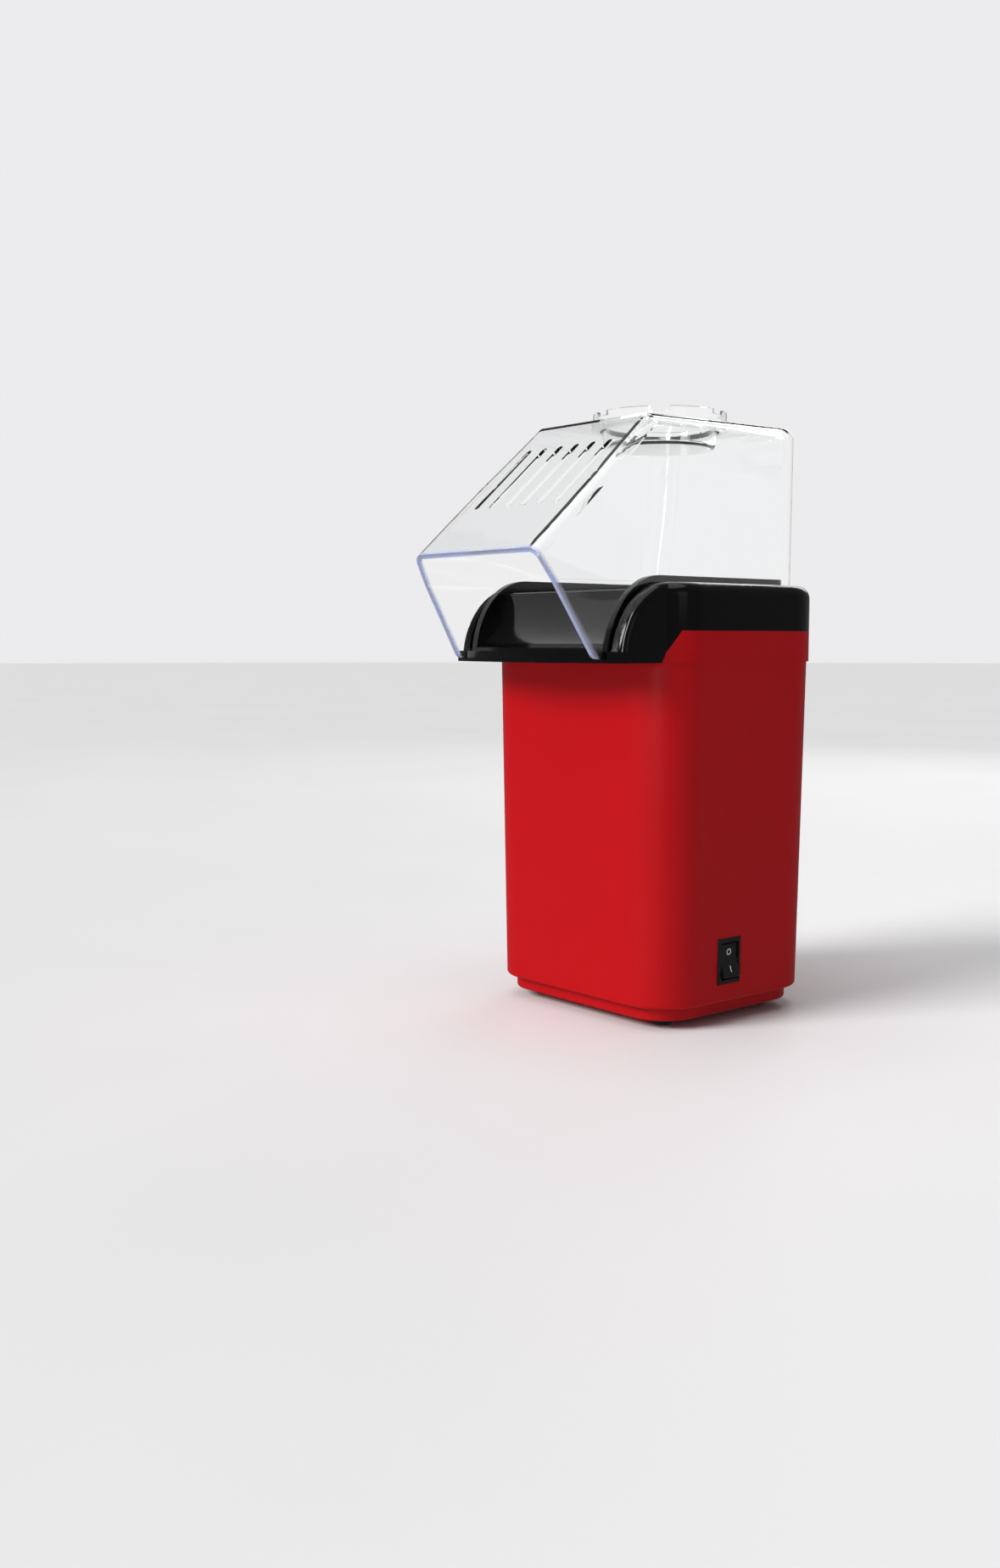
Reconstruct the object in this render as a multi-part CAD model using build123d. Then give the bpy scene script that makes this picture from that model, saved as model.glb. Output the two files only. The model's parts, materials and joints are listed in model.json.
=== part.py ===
"""A hot-air popcorn maker: a red housing on a base, a black collar with a pouring chute,
a clear hood with a measuring cup in its top, and the fan, motor, heater and chamber inside.

Millimetres, +Z up, the chute towards -Y. Every piece is modelled about the upright axis of the
fan and popping chamber, and is shifted along Y as it is written, so that the origin is the
bottom centre of the whole object."""
from build123d import *
from math import cos, hypot, radians, sin, tan
import os

# ---- Housing and base ----------------------------------------------------------------------
BODY_W_TOP = 124.0
BODY_D_TOP = 108.0
BODY_TAPER = 4.0
BODY_CORNER = 23.0
BODY_H = 153.6
BODY_FOOT_ROUND = 1.5
WALL = 2.4
BAND_H = 14.0
BAND_STEP = 1.0
BAND_SLANT = 8.4
BAND_FRONT_INSET = 3.4
FOOT_STAND = 4.0
SKIRT_H = 6.4
SKIRT_INSET = 4.9
SKIRT_ROUND = 1.2
LEDGE_W = 1.2
BASE_LIP_H = 3.0
BASE_LIP_T = 1.8
BASE_FIT = 0.25
BOSS_INSET_X = 13.0
BOSS_INSET_Y = 14.0
BOSS_R = 4.5
BOSS_H = 24.0
TOP_BOSS_DROP = 18.0
TOP_BOSS_H = 10.0
RIB_T = 2.0
RIB_REACH = 14.0
VENT_COUNT = 9
VENT_W = 3.2
VENT_L = 26.0
VENT_BAR = 2.0
VENT_ROW_Y = 17.0

# ---- Collar and chute ----------------------------------------------------------------------
COLLAR_H = 21.0
COLLAR_ROUND = 6.0
DECK_DROP = 3.0
DECK_T = 3.6
RIM_RISE = 3.0
RIM_W = 3.3
REAR_DECK = 5.5
GROOVE_DEPTH = 4.0
GROOVE_FLOOR = 1.4
CHUTE_INSET = 6.8
CHEEK_W = 6.7
CHEEK_ROUND = 4.0
CHEEK_START_INSET = 11.2
CHUTE_REACH = 30.9
LIP_BOW = 8.9
LIP_T = 4.9
SCOOP_DEPTH = 26.1
SCOOP_TOP_INSET = 17.7
SPIGOT_DEPTH = 5.0
SPIGOT_T = 1.8
SPIGOT_FIT = 0.25
POST_R = 4.0

# ---- Hood and cup --------------------------------------------------------------------------
HOOD_WALL = 2.2
HOOD_FIT = 0.5
SEAT_GAP = 0.3
HOOD_H = 74.5
HOOD_OVERHANG = 36.7
HOOD_TIP_RISE = 13.0
HOOD_BEND_INSET = 3.7
HOOD_BEND_R = 60.0
HOOD_PLAN_SPARE = 14.6
HOOD_FRONT_TURN = 8.0
HOOD_DRAFT_REAR = 3.0
HOOD_DRAFT_BEND = 12.0
HOOD_DRAFT_FRONT = 16.5
HOOD_REAR_LEAN = 5.6
SLOPE_TOP_INSET = 3.0
MOUTH_FOOT_OVERHANG = 7.8
HOOD_CORNER = 11.0
HOOD_EDGE_ROUND = 6.0
MOUTH_ROUND = 4.0
SLOT_COUNT = 6
SLOT_PITCH = 10.8
SLOT_L = 44.0
SLOT_W = 3.2
SLOT_START = 31.5
CUP_R = 27.0
CUP_Y = 4.0
CUP_DRAFT = 1.5
CUP_FLOOR_ROUND = 2.0
CUP_RIM_W = 4.5
CUP_RIM_RISE = 6.5
CUP_WALL = 1.6
CUP_DEPTH = 10.0
CUP_TABS = 6
CUP_NOTCH_W = 9.0
CUP_NOTCH_DEPTH = 2.2
CUP_NOTCH_TURN = 15.0

# ---- Popping chamber and heater ------------------------------------------------------------
CHAMBER_R = 37.0
CHAMBER_T = 0.8
CHAMBER_CONE = 8.0
CHAMBER_FLAT = 12.0
FLANGE_W = 11.5
CHAMBER_SCREW_INSET = 3.85
SEAL_T = 1.5
SLIT_COUNT = 20
SLIT_W = 1.8
SLIT_L = 14.0
SLIT_RISE = 12.0
SLIT_TILT = 40.0
DUCT_GAP = 6.4
DUCT_T = 0.8
DUCT_OVERLAP = 36.0
DUCT_FLANGE_W = 4.8
DUCT_POT_FIT = 0.1
PLATE_T = 0.8
PLATE_H = 22.0
PLATE_FOOT_H = 5.0
PLATE_FIT = 0.2
PLATE_GAP = 6.0
COIL_GAP = 10.4
COIL_WIRE = 0.6
COIL_TURNS = 6
COIL_PITCH = 2.4
COIL_RISE = 8.0
THERMOSTAT_R = 8.0
THERMOSTAT_T = 5.0
THERMOSTAT_RISE = 30.0
FUSE_R = 1.6
FUSE_L = 11.0
FUSE_X = 15.0
FUSE_RISE = 14.0

# ---- Fan and motor -------------------------------------------------------------------------
FAN_BOX_H = 28.0
FAN_BOX_T = 2.2
FAN_BOX_RIM_H = 3.0
INLET_R = 30.0
INLET_HUB_W = 3.0
SPOKE_W = 4.0
FAN_GAP = 5.0
FAN_HUB_R = 5.0
FAN_DISC_T = 1.6
FAN_BLADES = 14
BLADE_T = 1.4
BLADE_H = 13.0
BLADE_BOW = 5.0
FAN_LIFT = 4.0
CLIP_R = 4.0
CLIP_T = 0.8
MOTOR_STAND = 17.5
MOTOR_R = 14.0
MOTOR_H = 31.0
MOTOR_T = 1.0
MOTOR_SCREW_INSET = 6.0
MOTOR_SCREW_R = 1.25
MOTOR_BOSS_R = 3.0
MOTOR_BOSS_H = 1.5
MOTOR_BOSS_FIT = 0.2
BELL_H = 5.0
BELL_FLOOR = 2.0
BELL_HUB_R = 3.5
SHAFT_R = 1.15
BEARING_FIT = 0.05
MAGNET_T = 3.0
ROTOR_GAP = 0.4
BOARD_T = 1.6
DIODE_R = 1.35
DIODE_L = 5.0

# ---- Switch, feet, gland, screws -----------------------------------------------------------
SWITCH_Y = -9.5
SWITCH_RISE = 18.8
SWITCH_SINK = 0.6
BEZEL_L = 21.0
BEZEL_W = 15.0
BEZEL_T = 1.6
BEZEL_LIP = 2.2
SWITCH_D = 13.0
ROCKER_MARGIN_L = 5.4
ROCKER_MARGIN_W = 4.4
ROCKER_PIN_R = 0.9
ROCKER_TILT = 10.0
PIVOT_DEPTH = 1.4
WELL_DEPTH = 7.0
TERMINAL_W = 4.8
TERMINAL_T = 0.8
TERMINAL_L = 8.0
TERMINAL_PITCH = 10.0
PANEL_FIT = 0.1
FOOT_INSET_X = 20.0
FOOT_INSET_Y = 20.5
FOOT_R = 5.2
FOOT_PLUG = 1.2
FOOT_CHAMFER = 0.8
GLAND_X = -24.0
GLAND_RISE = 13.6
GLAND_R = 6.0
GLAND_BORE_R = 3.4
GLAND_FLANGE_W = 2.0
GLAND_FLANGE_T = 2.2
GLAND_TAIL = 6.0
GLAND_SINK = 0.2
SCREW_R = 1.5
SCREW_HOLE_FIT = 0.2
SCREW_HEAD_R = 2.8
SCREW_HEAD_H = 1.8
HEAD_RECESS = 0.4

# ---- Worked-out levels ---------------------------------------------------------------------
BODY_Z = FOOT_STAND + SKIRT_H
SHOULDER_Z = BODY_Z + BODY_H
BAND_TOP_Z = SHOULDER_Z + BAND_H
COLLAR_TOP_Z = BAND_TOP_Z + COLLAR_H
RIM_TOP_Z = COLLAR_TOP_Z + RIM_RISE
DECK_Z = COLLAR_TOP_Z - DECK_DROP
UNDER_Z = DECK_Z - DECK_T
CHEEK_H = COLLAR_TOP_Z - SHOULDER_Z
GROOVE_Z = SHOULDER_Z + GROOVE_FLOOR
HOOD_TOP_Z = COLLAR_TOP_Z + HOOD_H
HOOD_TIP_Z = COLLAR_TOP_Z + HOOD_TIP_RISE
FLANGE_TOP_Z = UNDER_Z - SEAL_T
FLANGE_Z = FLANGE_TOP_Z - CHAMBER_T
MOTOR_Z = BODY_Z + MOTOR_STAND
FAN_BOX_Z = MOTOR_Z + MOTOR_H
FAN_Z = FAN_BOX_Z + FAN_BOX_T + FAN_LIFT
DUCT_Z = FAN_BOX_Z + FAN_BOX_H
CHAMBER_Z = DUCT_Z + PLATE_H + PLATE_GAP
DUCT_TOP_Z = CHAMBER_Z + DUCT_OVERLAP
SWITCH_Z = BODY_Z + SWITCH_RISE
GLAND_Z = BODY_Z + GLAND_RISE
BASE_HEAD_Z = FOOT_STAND + SCREW_HEAD_H + HEAD_RECESS
TOP_BOSS_Z = SHOULDER_Z - TOP_BOSS_DROP
POST_Z = TOP_BOSS_Z + TOP_BOSS_H

# ---- Worked-out widths and places ----------------------------------------------------------
BODY_W_BOTTOM = BODY_W_TOP - BODY_TAPER
BODY_D_BOTTOM = BODY_D_TOP - BODY_TAPER
COLLAR_W = BODY_W_TOP + 2 * BAND_STEP
COLLAR_D = BODY_D_TOP + 2 * BAND_STEP
COLLAR_CORNER = BODY_CORNER + BAND_STEP
COLLAR_REAR_Y = COLLAR_D / 2
BAND_FRONT_Y = BAND_FRONT_INSET - BODY_D_TOP / 2
BOSS_X = BODY_W_BOTTOM / 2 - BOSS_INSET_X
BOSS_Y = BODY_D_BOTTOM / 2 - BOSS_INSET_Y
FOOT_X = BODY_W_BOTTOM / 2 - FOOT_INSET_X
FOOT_Y = BODY_D_BOTTOM / 2 - FOOT_INSET_Y
CHUTE_HALF_W = COLLAR_W / 2 - CHUTE_INSET
CHEEK_START_Y = CHEEK_START_INSET - BODY_D_TOP / 2
CHUTE_TIP_Y = CHEEK_START_Y - CHUTE_REACH
SCOOP_HALF_TOP_Y = CHUTE_TIP_Y + SCOOP_TOP_INSET
HOOD_TIP_Y = CHUTE_TIP_Y - HOOD_OVERHANG
HOOD_BEND_Y = CHUTE_TIP_Y + HOOD_BEND_INSET
HOOD_FRONT_Y = HOOD_TIP_Y - HOOD_PLAN_SPARE
MOUTH_FOOT_Y = CHUTE_TIP_Y - MOUTH_FOOT_OVERHANG
SLOPE_TOP_Y = CHEEK_START_Y + SLOPE_TOP_INSET
SLOPE_RUN = SLOPE_TOP_Y - HOOD_TIP_Y
SLOPE_RISE = HOOD_TOP_Z - HOOD_TIP_Z
SLOPE_L = hypot(SLOPE_RUN, SLOPE_RISE)
HOOD_BASE_HALF = CHUTE_HALF_W - CHEEK_W - HOOD_FIT
HOOD_BASE_REAR_Y = COLLAR_REAR_Y - REAR_DECK - HOOD_FIT
RIM_IN = HOOD_WALL + HOOD_FIT
CUP_RIM_R = CUP_R + CUP_RIM_W
FLANGE_R = CHAMBER_R + FLANGE_W
DUCT_R = CHAMBER_R + DUCT_GAP
DUCT_OUTER_R = DUCT_R + DUCT_T
DUCT_FLANGE_R = DUCT_R + DUCT_FLANGE_W
COIL_R = DUCT_R - COIL_GAP
FAN_ROOM_R = DUCT_OUTER_R - FAN_BOX_T
FAN_R = FAN_ROOM_R - FAN_GAP
ROTOR_R = MOTOR_R - MOTOR_T - MAGNET_T - ROTOR_GAP
MOTOR_SCREW_X = MOTOR_R - MOTOR_SCREW_INSET
SWITCH_L = BEZEL_L - BEZEL_LIP
SWITCH_W = BEZEL_W - BEZEL_LIP
ROCKER_L = BEZEL_L - ROCKER_MARGIN_L
ROCKER_W = BEZEL_W - ROCKER_MARGIN_W
SWITCH_FACE_X = BODY_W_BOTTOM / 2 - SWITCH_SINK
PIVOT_X = SWITCH_FACE_X + BEZEL_T - PIVOT_DEPTH
GLAND_SEAT_Y = BODY_D_BOTTOM / 2 - GLAND_SINK
FAR = 300.0
BODY_Y = -(HOOD_TIP_Y + COLLAR_REAR_Y) / 2
CORNERS = [(sx, sy) for sx in (1, -1) for sy in (1, -1)]


def save(name, made):
    """Writes one node, one solid or a list of them, moved to the object's own origin."""
    if isinstance(made, list):
        placed = Compound(children=[Pos(0, BODY_Y, 0) * one for one in made])
        export_step(placed, f"parts/{name}.step")
    else:
        export_step(Pos(0, BODY_Y, 0) * made, f"parts/{name}.step")


def block(width, depth, corner, z0, z1):
    return extrude(Pos(0, 0, z0) * RectangleRounded(width, depth, corner), z1 - z0)


def tapered(inset, z0, z1):
    """The housing's drafted form, drawn in by inset, between two levels."""
    def section(z):
        part = (z - BODY_Z) / BODY_H
        width = BODY_W_BOTTOM + (BODY_W_TOP - BODY_W_BOTTOM) * part - 2 * inset
        depth = BODY_D_BOTTOM + (BODY_D_TOP - BODY_D_BOTTOM) * part - 2 * inset
        return Pos(0, 0, z) * RectangleRounded(width, depth, BODY_CORNER - inset)
    return loft([section(z0), section(z1)])


def rod(radius, z0, z1, x=0.0, y=0.0):
    return Pos(x, y, (z0 + z1) / 2) * Cylinder(radius, z1 - z0)


def box_at(x0, x1, y0, y1, z0, z1):
    return Pos((x0 + x1) / 2, (y0 + y1) / 2, (z0 + z1) / 2) * Box(x1 - x0, y1 - y0, z1 - z0)


def across(profile, half_width):
    """A side-view profile (Y, Z) carried across the object, from -half_width to +half_width."""
    return extrude(Plane.YZ.offset(-half_width) * profile, 2 * half_width, dir=(1, 0, 0))


def screw(z_head, length, x, y):
    """A screw driven upwards: its head's underside is at z_head."""
    head = rod(SCREW_HEAD_R, z_head - SCREW_HEAD_H, z_head, x, y)
    slot = rod(SCREW_HEAD_R * 0.45, z_head - SCREW_HEAD_H, z_head - SCREW_HEAD_H / 2, x, y)
    return head + rod(SCREW_R, z_head, z_head + length, x, y) - slot


def corner_boss(x, y, z0, z1, wall_inset):
    """A screw boss with a rib to the housing's corner, trimmed to the inside of the wall."""
    boss = rod(BOSS_R, z0, z1, x, y)
    return (boss + corner_rib(x, y, z0, z1, RIB_T)) & tapered(wall_inset, z0, z1)


def corner_rib(x, y, z0, z1, thickness):
    angle = 45.0 if x * y > 0 else -45.0
    side = 1 if x > 0 else -1
    rib = Pos(side * RIB_REACH / 2, 0, 0) * Box(RIB_REACH, thickness, z1 - z0)
    return Pos(x, y, (z0 + z1) / 2) * Rot(0, 0, angle) * rib


# ---- Housing pieces ------------------------------------------------------------------------
def band_zone(grow=0.0):
    """Everything behind the band's slanted front end, seen from the side."""
    slanted = Polygon(
        (BAND_FRONT_Y - grow, SHOULDER_Z - grow),
        (FAR, SHOULDER_Z - grow),
        (FAR, BAND_TOP_Z + grow),
        (BAND_FRONT_Y + BAND_SLANT - grow, BAND_TOP_Z + grow),
        align=None,
    )
    return across(slanted, COLLAR_W)


def body_housing():
    shell = tapered(0, BODY_Z, SHOULDER_Z)
    shell = fillet(shell.faces().sort_by(Axis.Z)[0].edges(), BODY_FOOT_ROUND)
    shell -= tapered(WALL, BODY_Z + WALL, SHOULDER_Z + 1)
    shell -= block(*base_size(-LEDGE_W), BODY_Z - 1, BODY_Z + WALL + 1)
    band = block(COLLAR_W, COLLAR_D, COLLAR_CORNER, SHOULDER_Z, BAND_TOP_Z)
    inner_w, inner_d, inner_corner = BODY_W_TOP - 2 * WALL, BODY_D_TOP - 2 * WALL, BODY_CORNER - WALL
    band -= block(inner_w, inner_d, inner_corner, SHOULDER_Z - 1, BAND_TOP_Z + 1)
    shell += band & band_zone()
    for sx, sy in CORNERS:
        x, y = sx * BOSS_X, sy * BOSS_Y
        low = corner_boss(x, y, BODY_Z + 0.3, BODY_Z + BOSS_H, WALL / 2)
        high = corner_boss(x, y, TOP_BOSS_Z, POST_Z, WALL / 2)
        shell += low - rod(SCREW_R, BODY_Z - 1, BODY_Z + BOSS_H - 4, x, y)
        shell += high - rod(SCREW_R + SCREW_HOLE_FIT, TOP_BOSS_Z - 1, POST_Z + 1, x, y)
    shell -= switch_block(SWITCH_FACE_X, FAR, BEZEL_W / 2 + PANEL_FIT, BEZEL_L / 2 + PANEL_FIT)
    shell -= switch_block(SWITCH_FACE_X - 10, FAR, SWITCH_W / 2 + PANEL_FIT, SWITCH_L / 2 + PANEL_FIT)
    hole = gland_ring(GLAND_R, GLAND_SEAT_Y - 6, GLAND_SEAT_Y + 6)
    seat = gland_ring(GLAND_R + GLAND_FLANGE_W + PANEL_FIT, GLAND_SEAT_Y, GLAND_SEAT_Y + 10)
    return shell - hole - seat


def switch_block(x0, x1, half_w, half_l):
    """A block about the switch's middle, half_w to each side and half_l up and down."""
    return box_at(x0, x1, SWITCH_Y - half_w, SWITCH_Y + half_w, SWITCH_Z - half_l, SWITCH_Z + half_l)


def gland_ring(radius, y0, y1):
    return Pos(GLAND_X, (y0 + y1) / 2, GLAND_Z) * Rot(90, 0, 0) * Cylinder(radius, y1 - y0)


def base_size(grow):
    """Width, depth and corner of the base, larger or smaller all round by grow."""
    inset = SKIRT_INSET - grow
    return BODY_W_BOTTOM - 2 * inset, BODY_D_BOTTOM - 2 * inset, BODY_CORNER - inset


def base_plate():
    tray = block(*base_size(0), FOOT_STAND, BODY_Z)
    tray = fillet(tray.faces().sort_by(Axis.Z)[0].edges(), SKIRT_ROUND)
    lip_top = BODY_Z + BASE_LIP_H
    tray += block(*base_size(-LEDGE_W - BASE_FIT), BODY_Z - 1, lip_top)
    tray -= block(*base_size(-LEDGE_W - BASE_FIT - BASE_LIP_T), FOOT_STAND + WALL, lip_top + 1)
    for sx, sy in CORNERS:
        x, y = sx * BOSS_X, sy * BOSS_Y
        tray += rod(BOSS_R, FOOT_STAND + WALL, BODY_Z, x, y)
        tray -= rod(BOSS_R + SEAT_GAP, BODY_Z, lip_top + 1, x, y)
        tray -= corner_rib(x, y, BODY_Z, lip_top + 1, RIB_T + 2 * SEAT_GAP)
        tray -= rod(SCREW_HEAD_R + SCREW_HOLE_FIT, FOOT_STAND - 1, BASE_HEAD_Z, x, y)
        tray -= rod(SCREW_R + SCREW_HOLE_FIT, FOOT_STAND, BODY_Z + 1, x, y)
        tray -= rod(FOOT_R, FOOT_STAND - 1, FOOT_STAND + FOOT_PLUG, sx * FOOT_X, sy * FOOT_Y)
    for y in (-VENT_ROW_Y, VENT_ROW_Y):
        for i in range(VENT_COUNT):
            x = (i - (VENT_COUNT - 1) / 2) * (VENT_W + VENT_BAR)
            tray -= box_at(x - VENT_W / 2, x + VENT_W / 2, y - VENT_L / 2, y + VENT_L / 2, 0, BODY_Z)
    return tray


def feet():
    feet_set = []
    for sx, sy in CORNERS:
        foot = rod(FOOT_R, 0, FOOT_STAND + FOOT_PLUG, sx * FOOT_X, sy * FOOT_Y)
        feet_set.append(chamfer(foot.faces().sort_by(Axis.Z)[0].edges(), FOOT_CHAMFER))
    return feet_set


def base_screws():
    length = BOSS_H - 8
    return [screw(BASE_HEAD_Z, length, sx * BOSS_X, sy * BOSS_Y) for sx, sy in CORNERS]


def cord_gland():
    wall_in = BODY_D_BOTTOM / 2 - WALL - PANEL_FIT
    tail = wall_in - GLAND_TAIL
    flange = GLAND_R + GLAND_FLANGE_W
    gland = gland_ring(flange, GLAND_SEAT_Y, GLAND_SEAT_Y + GLAND_FLANGE_T)
    gland += gland_ring(GLAND_R - PANEL_FIT / 2, tail, GLAND_SEAT_Y)
    gland += gland_ring(GLAND_R + 1, wall_in - 3, wall_in)
    return gland - gland_ring(GLAND_BORE_R, tail - 1, GLAND_SEAT_Y + GLAND_FLANGE_T + 1)


# ---- Collar and chute ----------------------------------------------------------------------
def hood_plan(half_rear, half_bend, half_front, rear_y):
    """The hood's outline from above: straight sides that turn in towards the pouring end."""
    outline = Polygon(
        (-half_rear, rear_y),
        (-half_bend, HOOD_BEND_Y),
        (-half_front, HOOD_FRONT_Y),
        (half_front, HOOD_FRONT_Y),
        (half_bend, HOOD_BEND_Y),
        (half_rear, rear_y),
        align=None,
    )
    rear = outline.vertices().filter_by(lambda v: v.Y > 0)
    outline = fillet(rear, HOOD_CORNER)
    bends = outline.vertices().filter_by(lambda v: abs(v.Y - HOOD_BEND_Y) < 0.1)
    return fillet(bends, HOOD_BEND_R)


def base_outline(grow=0.0):
    half = HOOD_BASE_HALF + grow
    return hood_plan(half, half, half - HOOD_FRONT_TURN, HOOD_BASE_REAR_Y + grow)


def arch(reach, height):
    """Side view of a deck that ends in a quarter of an ellipse towards the lip."""
    curve = Pos(CHEEK_START_Y, SHOULDER_Z) * Ellipse(reach, height)
    curve &= side_box(-FAR, FAR, SHOULDER_Z, SHOULDER_Z + FAR)
    return curve + side_box(CHEEK_START_Y, FAR, SHOULDER_Z, SHOULDER_Z + height)


def side_box(y0, y1, z0, z1):
    return Polygon((y0, z0), (y1, z0), (y1, z1), (y0, z1), align=None)


def scoop_profile(extra=0.0):
    """Side view of the deck and of the hollow slide down to the lip."""
    lip_top = SHOULDER_Z + LIP_T - extra
    centre_y = SCOOP_HALF_TOP_Y - SCOOP_DEPTH
    hollow = Pos(centre_y, DECK_Z) * Ellipse(SCOOP_DEPTH + extra, DECK_Z - lip_top)
    ahead = side_box(-FAR, centre_y, lip_top, DECK_Z + 1)
    return side_box(-FAR, FAR, SHOULDER_Z - FAR, DECK_Z) - hollow - ahead


def bow_plan():
    """The chute from above, with its bowed lip."""
    left, right = (-CHUTE_HALF_W, CHUTE_TIP_Y), (CHUTE_HALF_W, CHUTE_TIP_Y)
    edge = ThreePointArc(right, (0, CHUTE_TIP_Y - LIP_BOW), left)
    return make_face(edge + Polyline(left, (-CHUTE_HALF_W, 0), (CHUTE_HALF_W, 0), right))


def upright(sketch, z0=None, z1=None):
    low = SHOULDER_Z if z0 is None else z0
    high = FAR if z1 is None else z1
    return extrude(Pos(0, 0, low) * sketch, high - low, dir=(0, 0, 1))


def chute_collar():
    crown = block(COLLAR_W, COLLAR_D, COLLAR_CORNER, SHOULDER_Z, COLLAR_TOP_Z)
    crown = fillet(crown.faces().sort_by(Axis.Z)[-1].edges(), COLLAR_ROUND)
    cheeks = across(arch(CHUTE_REACH, CHEEK_H), CHUTE_HALF_W)
    cheeks = fillet(cheeks.edges().filter_by(is_cheek_edge), CHEEK_ROUND) & upright(bow_plan())
    rim = upright(base_outline(-RIM_IN), z1=RIM_TOP_Z) - upright(base_outline(-RIM_IN - RIM_W), z1=RIM_TOP_Z)
    rim &= across(arch(CHUTE_REACH, RIM_TOP_Z - SHOULDER_Z), CHUTE_HALF_W)
    solid = crown + cheeks + upright(bow_plan(), z1=SHOULDER_Z + LIP_T) + rim
    groove = upright(base_outline(HOOD_FIT), z0=GROOVE_Z) - upright(base_outline(-RIM_IN))
    solid -= groove - across(arch(CHUTE_REACH - GROOVE_DEPTH, CHEEK_H - GROOVE_DEPTH), FAR)
    solid -= upright(base_outline(-RIM_IN - RIM_W)) - across(scoop_profile(), FAR)
    inner_w, inner_d, inner_corner = spigot_size(0)
    solid += block(inner_w, inner_d, inner_corner, SHOULDER_Z - SPIGOT_DEPTH, SHOULDER_Z + 1)
    solid -= block(*spigot_size(SPIGOT_T), SHOULDER_Z - SPIGOT_DEPTH - 1, UNDER_Z)
    inside = block(inner_w, inner_d, inner_corner, SHOULDER_Z - 1, BAND_TOP_Z + 1)
    solid -= (block(FAR, FAR, 1, SHOULDER_Z, BAND_TOP_Z) - inside) & band_zone()
    solid -= slide_underside()
    solid -= rod(CHAMBER_R, UNDER_Z - 1, RIM_TOP_Z + 1)
    for sx, sy in CORNERS:
        x, y = sx * BOSS_X, sy * BOSS_Y
        solid += rod(POST_R, POST_Z, UNDER_Z + 0.1, x, y) - rod(SCREW_R, POST_Z - 1, SHOULDER_Z + 8, x, y)
    for x, y in chamber_screw_places():
        solid -= rod(SCREW_R, UNDER_Z - 1, UNDER_Z + chamber_screw_bite(), x, y)
    return solid


def is_cheek_edge(edge):
    centre = edge.center()
    on_side = abs(abs(centre.X) - CHUTE_HALF_W) < 0.01
    return on_side and centre.Z > SHOULDER_Z + CHEEK_ROUND + 1 and centre.Y < CHEEK_START_Y


def spigot_size(inset):
    """Width, depth and corner of the collar's spigot, which drops inside the housing's wall."""
    drawn_in = WALL + SPIGOT_FIT + inset
    return BODY_W_TOP - 2 * drawn_in, BODY_D_TOP - 2 * drawn_in, BODY_CORNER - drawn_in


def slide_underside():
    """The hollow under the slide, which leaves it one wall thick."""
    back_y = BAND_FRONT_Y + 6
    hollow = scoop_profile(WALL) & side_box(-FAR, back_y, SHOULDER_Z + WALL, UNDER_Z)
    plan = base_outline(-RIM_IN - RIM_W - 1) & (Pos(0, 0.6 * LIP_BOW) * bow_plan())
    return across(hollow, FAR) & upright(plan)


def collar_screws():
    length = TOP_BOSS_H + 12
    return [screw(TOP_BOSS_Z, length, sx * BOSS_X, sy * BOSS_Y) for sx, sy in CORNERS]


# ---- Hood and cup --------------------------------------------------------------------------
def hood_form(inset, reach_down):
    """The hood's outer form, or its inner form when inset by the wall."""
    half = HOOD_BASE_HALF - inset
    rear_y = HOOD_BASE_REAR_Y - inset
    lower = base_outline(-inset)
    upper = hood_plan(half - HOOD_DRAFT_REAR, half - HOOD_DRAFT_BEND, half - HOOD_DRAFT_FRONT,
                      rear_y + HOOD_REAR_LEAN)
    form = loft([Pos(0, 0, COLLAR_TOP_Z) * lower, Pos(0, 0, HOOD_TOP_Z) * upper])
    return form + upright(lower, z0=reach_down, z1=COLLAR_TOP_Z)


def slope_drop(inset):
    """How far straight down the slope's surface moves when the hood is inset."""
    return inset * SLOPE_L / SLOPE_RUN


def hood_side(inset):
    """The hood from the side: slope, top and rear, cut back by the wall when inset."""
    drop = slope_drop(inset)
    ahead = 20.0 if inset else 0.0
    below = 60.0 if inset else 0.0
    foot_z = GROOVE_Z + SEAT_GAP
    mouth_lean = (MOUTH_FOOT_Y - HOOD_TIP_Y) / (HOOD_TIP_Z - foot_z)
    roof_z = HOOD_TOP_Z - inset
    return Polygon(
        (HOOD_TIP_Y - ahead, HOOD_TIP_Z - drop - ahead * SLOPE_RISE / SLOPE_RUN),
        (MOUTH_FOOT_Y + below * mouth_lean - ahead, foot_z - below),
        (FAR / 2, foot_z - below),
        (FAR / 2, roof_z),
        (SLOPE_TOP_Y + (drop - inset) * SLOPE_RUN / SLOPE_RISE, roof_z),
        align=None,
    )


def hood_form_rounded(inset):
    """The hood's closed form with its roof edges rounded, or the hollow inside it."""
    side = hood_side(inset)
    if not inset:
        foot = side.vertices().filter_by(lambda v: v.Y < GROOVE_Z + SEAT_GAP + 1 and v.X < 0)
        side = fillet(foot, MOUTH_ROUND)
    reach_down = SHOULDER_Z - 5 if inset else SHOULDER_Z
    form = hood_form(inset, reach_down) & across(side, FAR)

    def on_roof(point):
        slope_z = HOOD_TIP_Z - slope_drop(inset) + (point.Y - HOOD_TIP_Y) * SLOPE_RISE / SLOPE_RUN
        return abs(point.Z - min(slope_z, HOOD_TOP_Z - inset)) < 0.05

    def is_roof_edge(edge):
        centre = edge.center()
        crosses = edge.geom_type == GeomType.LINE and abs(centre.X) < 1 and centre.Y < 0
        return not crosses and all(on_roof(edge @ t) for t in (0, 0.5, 1))

    return fillet(form.edges().filter_by(is_roof_edge), HOOD_EDGE_ROUND - inset)


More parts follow.
